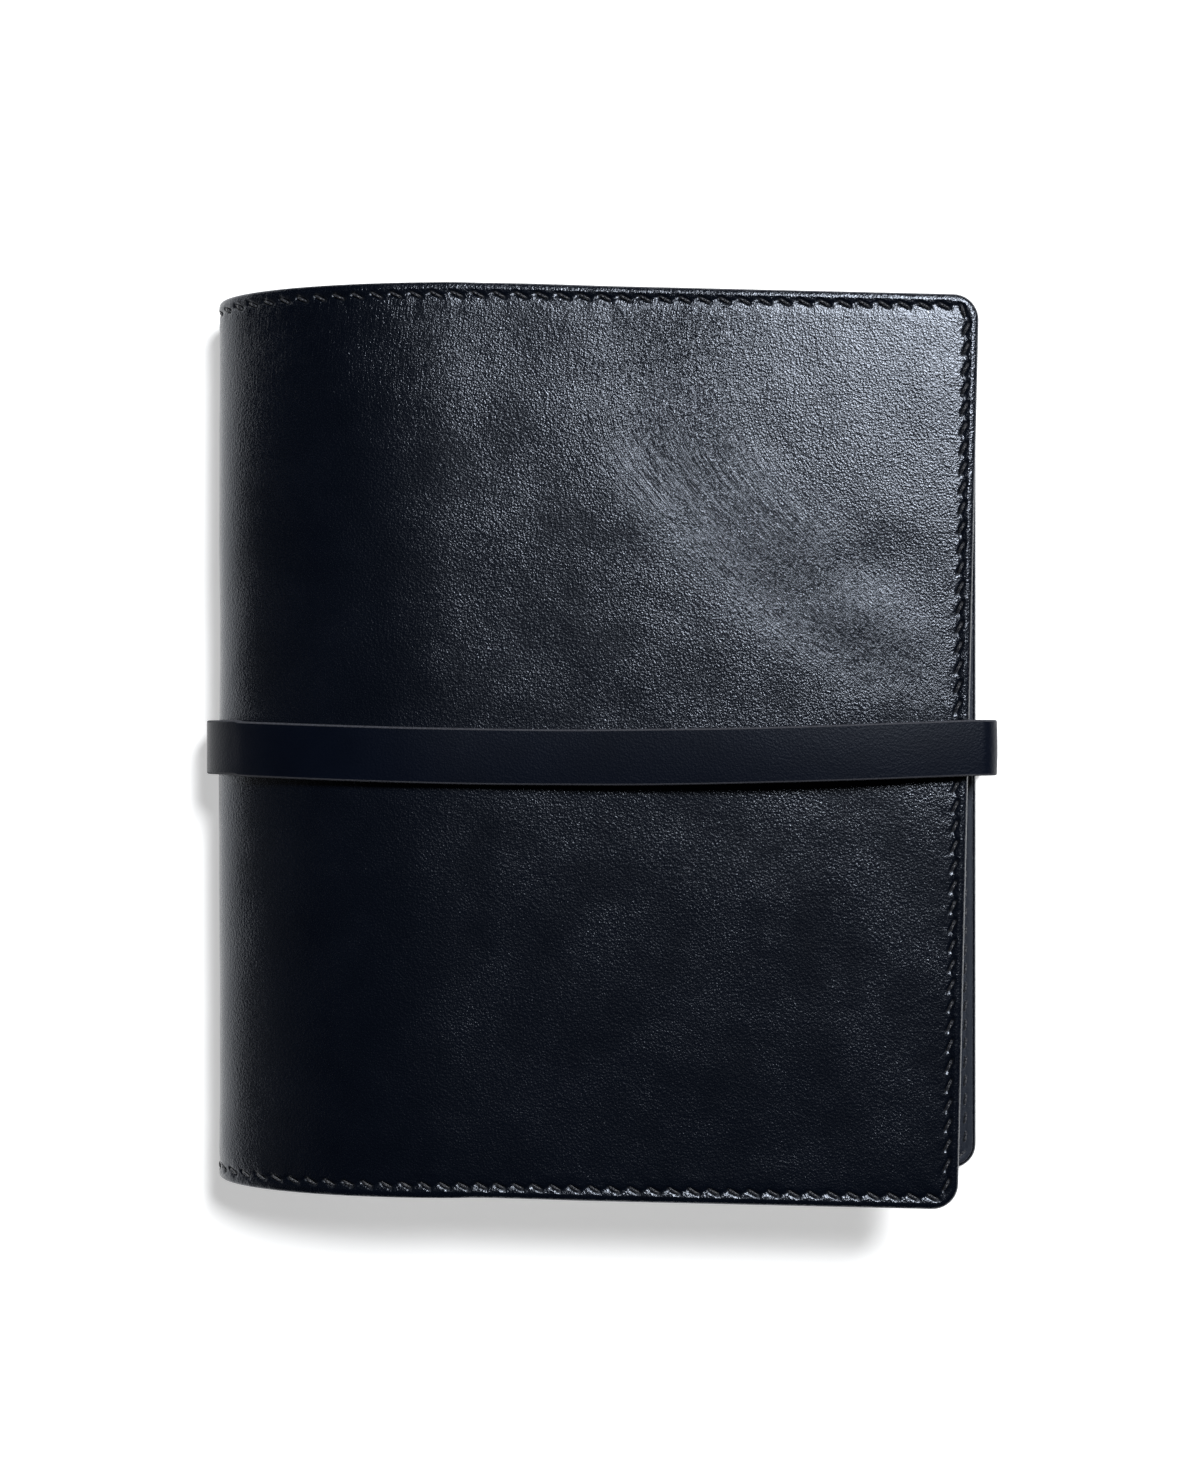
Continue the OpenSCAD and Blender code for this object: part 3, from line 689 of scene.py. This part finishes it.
def build_stitches(name, row, surface, side, length, lean, rise, replaced):
    """Rounds of thread that rise out of one needle hole and sink into the next.

    surface(s) is the depth of the face that they lie on, and side is 1 outside and -1 inside."""
    rng = random.Random(7)
    points, faces, flat, s_of = [], [], [], []
    radius = 0.34 * MM
    for k in range(row.count):
        (cs, cy), (ds, dy) = row.at((k + 0.5) * row.pitch)
        a = math.atan2(dy, ds) + lean + rng.uniform(-0.06, 0.06)
        half = length / 2 * rng.uniform(0.94, 1.05)
        path = []
        for step in range(9):
            f = step / 4 - 1
            lift = rise * (1 - f ** 4) - 0.60 * MM * f ** 4
            thick = radius * (1 - 0.35 * f ** 4)
            across = half * f
            depth = surface(cs) - side * lift
            path.append((cs + math.cos(a) * across, cy + math.sin(a) * across, depth, thick))
        rows, quads, uv = stitch_ring(path)
        start = len(points)
        points += rows
        flat += uv
        s_of += [cs] * len(rows)
        faces += [tuple(start + i for i in q) for q in quads]
    points = np.array(points)
    world = place(points[:, 0], points[:, 1], points[:, 2])
    add_to_cover(name, s_of, world, faces, THREAD, flat, None, replaced)


def inner_face(s):
    """Depth of the lining's inner face."""
    return float(hem_depth(np.array([s]))[0]) + LINING_T


# ---------------------------------------------------------------- pockets
def rounded_sheet(name, low, high, mouth_low, mouth_high, outer, thick, radius,
                  body, node, grid=4 * MM):
    """A sewn-on pocket from s low to high and y mouth_low to mouth_high, its near face outer deep."""
    mid, half = (mouth_low + mouth_high) / 2, (mouth_high - mouth_low) / 2
    grid_s = spaced(low + radius, high - radius, grid)
    grid_y = spaced(radius - half, half - radius, grid)
    section = [(radius, 0)] + round_edge(thick / 2, (90, 50, 15, -15, -50, -90))
    section += [(v * MM, 1) for v in (1.0, 1.5, 1.9, 2.3, 2.9)] + [(radius, 1)]
    shell = Shell(low, high, half, radius, grid_s, grid_y, grid_s, grid_y, section, corner_steps=6)
    s, y, edge, part = (np.array(v) for v in (shell.s, shell.y, shell.edge, shell.depth))
    groove = -0.16 * MM * np.exp(-((edge - 1.7 * MM) / (0.35 * MM)) ** 2)
    loose = 1 + sampled(0.04, np.stack([s, y], -1), 4.2)
    swell = 0.10 * MM * loose * smooth((edge - 2 * MM) / (15 * MM))
    depth = outer + part * thick + np.where(part > 0.5, groove + swell, 0)
    points = place(s, mid + y, depth)
    piece = add_mesh(name, points, shell.faces, LINING, np.stack([s, mid + y], -1), None,
                     vertex_normals(points, shell.faces))
    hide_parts(node)
    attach(piece, body)


POCKET_EDGE = 4.0 * MM
SLIP_CORNER, CARD_CORNER = 3 * MM, 2.5 * MM
CARD_COUNT, CARD_GRID = 3, 2.5 * MM
BACK_MOUTH = CURVE_START - 46 * MM
FRONT_MOUTH = CURVE_END + 45 * MM
CARD_S = FRONT_MOUTH + 10 * MM
CARD_W, CARD_H, CARD_STEP, CARD_Y = 62 * MM, 90 * MM, 14 * MM, -20 * MM


def build_pockets():
    half = HEIGHT / 2 - POCKET_EDGE
    rounded_sheet("back_slip_pocket", POCKET_EDGE, BACK_MOUTH, -half, half, PANEL_T, POCKET_T,
                  SLIP_CORNER, "back_cover", "back_pocket")
    rounded_sheet("front_slip_pocket", FRONT_MOUTH, LENGTH - POCKET_EDGE, -half, half, PANEL_T, POCKET_T,
                  SLIP_CORNER, "front_cover", "front_pocket")
    for k in range(CARD_COUNT):
        low = CARD_Y - MID_Y
        rounded_sheet(f"card_slot_{k + 1}", CARD_S, CARD_S + CARD_W, low, low + CARD_H - k * CARD_STEP,
                      PANEL_T + POCKET_T + k * CARD_T, CARD_T, CARD_CORNER,
                      "front_cover", f"card_pocket_{k + 1}", CARD_GRID)


# ---------------------------------------------------------------- pages
PAGE_W, PAGE_H = 148 * MM, 210 * MM
PUNCH_INSET = 6 * MM
PUNCH_R, HOLE_SIDES = 2.75 * MM, 14
RING_PITCH, GROUP_GAP = 19 * MM, 70 * MM
RING_PLACES = [side * (GROUP_GAP / 2 + k * RING_PITCH) for side in (-1, 1) for k in range(3)]
LEAVES = 34
LEAF_T = 0.16 * MM
STACK_HALF = 8.9 * MM
FAN_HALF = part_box("upper_pages")[1].z - RING_Z
PAGES_APART = 0.15 * MM
HEAD_MARGIN = 16 * MM
BLADE_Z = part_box("right_blade")[0].z
RING_OPEN = math.radians(6.5)
EASE_START, EASE_LENGTH = RING_R + 12 * MM, 30 * MM


def leaf_plan():
    """One leaf laid flat, in (across, along) from its punched edge.

    Gives its points, its triangles, the edges round its outline and holes, and which points are on the
    far side of a hole."""
    r = 3 * MM
    half = PAGE_H / 2
    quarter = np.radians(np.arange(0, 91, 15))
    outline = [(0, -half)]
    outline += [(PAGE_W - r + r * math.sin(a), -half + r - r * math.cos(a)) for a in quarter]
    outline += [(PAGE_W - r + r * math.cos(a), half - r + r * math.sin(a)) for a in quarter]
    outline += [(0, half)]
    points, edges = list(outline), [(i, (i + 1) % len(outline)) for i in range(len(outline))]
    for y in RING_PLACES:
        first = len(points)
        for k in range(HOLE_SIDES):
            a = 2 * math.pi * k / HOLE_SIDES
            points.append((PUNCH_INSET + PUNCH_R * math.cos(a), y + PUNCH_R * math.sin(a)))
        edges += [(first + k, first + (k + 1) % HOLE_SIDES) for k in range(HOLE_SIDES)]
    for x in (12, 17, 22, 27, 32, 38, 46, 70, 100, 125):
        for y in np.linspace(-half + 1 * MM, half - 1 * MM, 8):
            points.append((x * MM, y))
    made = delaunay_2d_cdt([Vector(p) for p in points], edges, [], 1, 1e-6)
    flat = [tuple(v) for v in made[0]]
    tris = []
    for f in made[2]:
        cx, cy = (sum(flat[i][n] for i in f) / len(f) for n in (0, 1))
        if all(math.hypot(cx - PUNCH_INSET, cy - y) > PUNCH_R * 0.97 for y in RING_PLACES):
            tris.append(tuple(f))
    counted = {}
    for f in tris:
        for a, b in zip(f, f[1:] + f[:1]):
            counted[(a, b)] = counted.get((a, b), 0) + 1
    rim = [(a, b) for a, b in counted if (b, a) not in counted]
    flat = np.array(flat)
    far = np.zeros(len(flat), bool)
    for y in RING_PLACES:
        off = np.hypot(flat[:, 0] - PUNCH_INSET, flat[:, 1] - y)
        far |= (np.abs(off - PUNCH_R) < 0.01 * MM) & (flat[:, 0] > PUNCH_INSET)
    return flat, tris, rim, far


def build_pages(name, side, body, node, seed):
    """A stack of loose leaves; side is 1 above the rings' middle and -1 below it."""
    rng = random.Random(seed)
    plan, tris, rim, far_side = leaf_plan()
    points, faces, uv, ruled = [], [], [], []
    for k in range(LEAVES):
        f = (k + 0.5) / LEAVES
        near = PAGES_APART + f * (STACK_HALF - PAGES_APART)
        far = PAGES_APART + f * (FAN_HALF - PAGES_APART)
        edge = RING_X + math.sqrt(RING_R ** 2 - near ** 2) - PUNCH_INSET + rng.uniform(-0.12, 0.12) * MM
        slip = rng.uniform(-0.25, 0.25) * MM
        # The far side of each hole leaves room for the ring half as it tips open.
        flat = plan.copy()
        flat[far_side, 0] += (RING_Z + side * near - BLADE_Z) * math.sin(RING_OPEN)
        x = edge + flat[:, 0]
        ease = smooth((x - RING_X - EASE_START) / EASE_LENGTH)
        wave = 0.05 * MM * np.sin(flat[:, 1] / (31 * MM) + rng.uniform(0, 6)) * ease
        if k in (0, LEAVES - 1):
            wave *= 0
        z = RING_Z + side * (near + (far - near) * ease) + wave
        for layer in (-1, 1):
            start = len(points)
            points += list(zip(x, MID_Y + flat[:, 1] + slip, z + layer * LEAF_T / 2))
            uv += list(zip(flat[:, 0], flat[:, 1]))
            ruled += [float(y < PAGE_H / 2 - HEAD_MARGIN) for y in flat[:, 1]]
            faces += [tuple(start + i for i in (t if layer > 0 else t[::-1])) for t in tris]
        low, high = len(points) - 2 * len(flat), len(points) - len(flat)
        faces += [(low + a, low + b, high + b, high + a) for a, b in rim]
    piece = add_mesh(name, points, faces, PAPER, uv, {"ruled": ruled}, flat=True)
    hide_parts(node)
    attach(piece, body)


# ---------------------------------------------------------------- strap
STRAP_W = 14 * MM
STRAP_LIFT = 3 * MM
STRAP_LOW = 3 * MM
REST_GAP, SPINE_GAP, FORE_GAP = 0.1 * MM, 1 * MM, 0.6 * MM
FORE_R, TOP_R, TOP_OUT, TOP_END = 0.9 * MM, 3.5 * MM, 1.7 * MM, 0.6 * MM
STRAP_SAG = 2.4 * MM          # the middle of the top run lies this much nearer the tail than its ends
STRAP_RISE = 1.1 * MM         # shares the sag out about the CAD strap's middle
EASY_TURN = 60                # turn by which the strap has come clear of the leather
ARCH_SCALE = 27 / 4           # brings the peak of u * u * (1 - u) to 1


def strap_line():
    """Inner face of the strap as (x, z, outward x, outward z), once round."""
    found = []
    for t in np.arange(0, 180.01, 2.0):
        gap = REST_GAP + (SPINE_GAP - REST_GAP) * min(1, t / EASY_TURN)
        x, z = spine_at(t, -gap)
        found.append((x, z, -math.sin(math.radians(t)), -math.cos(math.radians(t))))
    top_x, low_x = BACK_FORE - FRONT_SETBACK + TOP_OUT, BACK_FORE + FORE_GAP - FORE_R
    slope = math.atan(ARCH_SCALE * STRAP_LIFT / (top_x - FLAT_X))
    top_z, low_z = THICK + TOP_END - TOP_R * math.cos(slope), FORE_R - REST_GAP
    across, down = low_x - top_x, top_z - low_z
    run = math.atan2(across, down) - math.asin((TOP_R - FORE_R) / math.hypot(across, down))
    for k in range(1, 60):
        u = k / 60
        z = THICK + SPINE_GAP * (1 - u) + TOP_END * u + STRAP_LIFT * ARCH_SCALE * u * u * (1 - u)
        climb = -SPINE_GAP + TOP_END + STRAP_LIFT * ARCH_SCALE * (2 * u - 3 * u * u)
        climb /= top_x - FLAT_X
        size = math.hypot(1, climb)
        found.append((FLAT_X + (top_x - FLAT_X) * u, BASE_Z + z, -climb / size, 1 / size))
    bends = ((top_x, top_z, TOP_R, math.pi / 2 - slope, run),
             (low_x, low_z, FORE_R, run, -math.pi / 2))
    for x, z, r, first, last in bends:
        for k in range(13):
            a = first + (last - first) * k / 12
            found.append((x + r * math.cos(a), BASE_Z + z + r * math.sin(a), math.cos(a), math.sin(a)))
    end, start = found[-1], found[0]
    for k in range(1, 50):
        f = k / 50
        found.append((end[0] + (start[0] - end[0]) * f, end[1] + (start[1] - end[1]) * f, 0, -1))
    return found


def strap_section():
    """The strap's section as (across, out, whether it is cut edge), with softened corners."""
    half, r = STRAP_W / 2, 0.45 * MM
    shares = (-0.92, -0.6, -0.3, 0, 0.3, 0.6, 0.92)

    def corner(across, out, start):
        turns = [math.radians(start + a) for a in (0, 30, 60, 90)]
        return [(across + r * math.cos(g), out + r * math.sin(g), True) for g in turns]

    found = [(half * f, 0.0, False) for f in shares]
    found += corner(half - r, r, -90) + corner(half - r, STRAP_T - r, 0)
    found += [(half * f, STRAP_T, False) for f in shares[::-1]]
    found += corner(r - half, STRAP_T - r, 90) + corner(r - half, r, 180)
    return found


def build_strap():
    line, section = strap_line(), strap_section()
    n, m = len(line), len(section)
    points, uv, faces, cut = [], [], [], []
    run = 0.0
    for k, (x, z, ox, oz) in enumerate(line):
        if k:
            run += math.dist((x, z), line[k - 1][:2])
        over = (x - FLAT_X) / (FRONT_FORE - FLAT_X)
        on_top = z > BASE_Z + THICK - 12 * MM
        share = min(1, max(0, (x - SPINE_X) / (FRONT_FORE - SPINE_X)))
        sag = STRAP_SAG * math.sin(math.pi * share) if on_top else 0.0
        dish = 0.10 * MM * math.sin(over * 9 + 1) if on_top else 0.0
        width = 1 + 0.012 * noise.noise(Vector((run / 0.03, 2.5, 0)))
        for across, out, edge in section:
            crown = 0.16 * MM * (1 - (across / (STRAP_W / 2)) ** 2) + dish
            lift = out + (crown if on_top and out > STRAP_T / 2 else 0)
            y = STRAP_RISE - STRAP_LOW - sag + across * width + MID_Y
            points.append((x + ox * lift, y, z + oz * lift))
            uv.append((run, across + (out if edge else 0)))
            cut.append(edge)
    for k in range(n):
        for j in range(m):
            here, there, beside = k * m, (k + 1) % n * m, (j + 1) % m
            faces.append((here + j, here + beside, there + beside, there + j))
    # The first face is on the inner side, so the faces are turned over if it points outwards.
    a, b, c = (np.array(points[i]) for i in faces[0][:3])
    if np.dot(np.cross(b - a, c - a), (0, 0, line[0][3])) > 0:
        faces = [f[::-1] for f in faces]
    piece = add_mesh("strap", points, faces, STRAP, uv)
    piece.data.materials.append(EDGE)
    for f in piece.data.polygons:
        if all(cut[i] for i in f.vertices):
            f.material_index = 1
    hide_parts("strap_band")
    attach(piece, "strap")


# ---------------------------------------------------------------- metal and boards
def dress_cad_nodes():
    for names, look, slot in (
            (("left_ring_halves", "right_ring_halves", "mechanism_rivets", "head_lever", "tail_lever",
              "head_lever_pin", "tail_lever_pin"), PLATED, "ring_steel"),
            (("ring_channel", "left_blade", "right_blade"), BRUSHED, "channel_steel"),
            (("back_board", "front_board"), BOARD, "stiffener")):
        for name in names:
            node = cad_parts[name]
            node.data.materials.clear()
            node.data.materials.append(look)
            if look is not BOARD:
                bevel = node.modifiers.new("softened", "BEVEL")
                bevel.width = 0.12 * MM
                bevel.segments = 2
                bevel.angle_limit = math.radians(40)
                bevel.limit_method = "ANGLE"
                bevel.harden_normals = True


# ---------------------------------------------------------------- floor, light and camera
def build_floor():
    look = Look("floor", Roughness=0.85, Base_Color=(0.86, 0.86, 0.86, 1))
    look.shader.inputs["Emission Color"].default_value = (1, 1, 1, 1)
    look.shader.inputs["Emission Strength"].default_value = 0.5
    size = 8.0
    floor = add_mesh("floor", [(-size, -size, 0), (size, -size, 0), (size, size, 0), (-size, size, 0)],
                     [(0, 1, 2, 3)], look.material)


def aimed(obj, target):
    obj.rotation_euler = (Vector(target) - obj.location).to_track_quat("-Z", "Y").to_euler()


def add_light(name, place_at, target, size, power, colour=(1, 1, 1)):
    data = bpy.data.lights.new(name, "AREA")
    data.shape = "RECTANGLE"
    data.size, data.size_y = size
    data.energy = power
    data.color = colour
    obj = bpy.data.objects.new(name, data)
    bpy.context.scene.collection.objects.link(obj)
    obj.location = place_at
    aimed(obj, target)
    return obj


def build_studio():
    build_floor()
    world = bpy.data.worlds.new("studio")
    bpy.context.scene.world = world
    world.use_nodes = True
    background = world.node_tree.nodes["Background"]
    background.inputs["Color"].default_value = (0.9, 0.93, 1.0, 1)
    # The room is dark but for a soft band low down, which the side views see behind the floor.
    nodes, links = world.node_tree.nodes, world.node_tree.links
    kinds = "TexCoord", "SeparateXYZ", "MapRange"
    direction, split, fade = (nodes.new("ShaderNode" + kind) for kind in kinds)
    links.new(direction.outputs["Generated"], split.inputs[0])
    links.new(split.outputs["Z"], fade.inputs["Value"])
    for key, value in (("From Min", 0.0), ("From Max", 0.22), ("To Min", 0.14), ("To Max", 0.009)):
        fade.inputs[key].default_value = value
    links.new(fade.outputs[0], background.inputs["Strength"])
    add_light("key", (0.55, 0.75, 1.42), (0.04, 0.05, 0.03), (0.45, 0.45), 38, (0.97, 0.985, 1.0))
    add_light("side", (-1.3, -0.3, 0.55), (0, 0, 0), (0.9, 0.9), 0.25, (1.0, 0.97, 0.93))
    camera = bpy.data.cameras.new("camera")
    camera.lens = 46.87
    camera.sensor_width = 36
    camera.clip_start = 0.01
    viewer = bpy.data.objects.new("camera", camera)
    viewer.location = (0, 2.67 * MM, BASE_Z + THICK + 480 * MM)
    bpy.context.scene.collection.objects.link(viewer)
    bpy.context.scene.camera = viewer
    bpy.context.scene.view_settings.view_transform = "Standard"


build_leather()
build_lining()
build_stitches("outer_stitches", ROW, lambda s: 0.0, side=1, length=2.9 * MM, lean=-STITCH_LEAN,
               rise=-0.22 * MM, replaced=(("back_stitching",), (), ("front_stitching",)))
build_stitches("inner_stitches", ROW, inner_face, side=-1, length=3.6 * MM, lean=STITCH_LEAN * 0.3,
               rise=0.12 * MM, replaced=())
build_pockets()
build_pages("lower_leaves", -1, "back_cover", "lower_pages", 11)
build_pages("upper_leaves", 1, "turned_pages", "upper_pages", 23)
build_strap()
dress_cad_nodes()
build_studio()
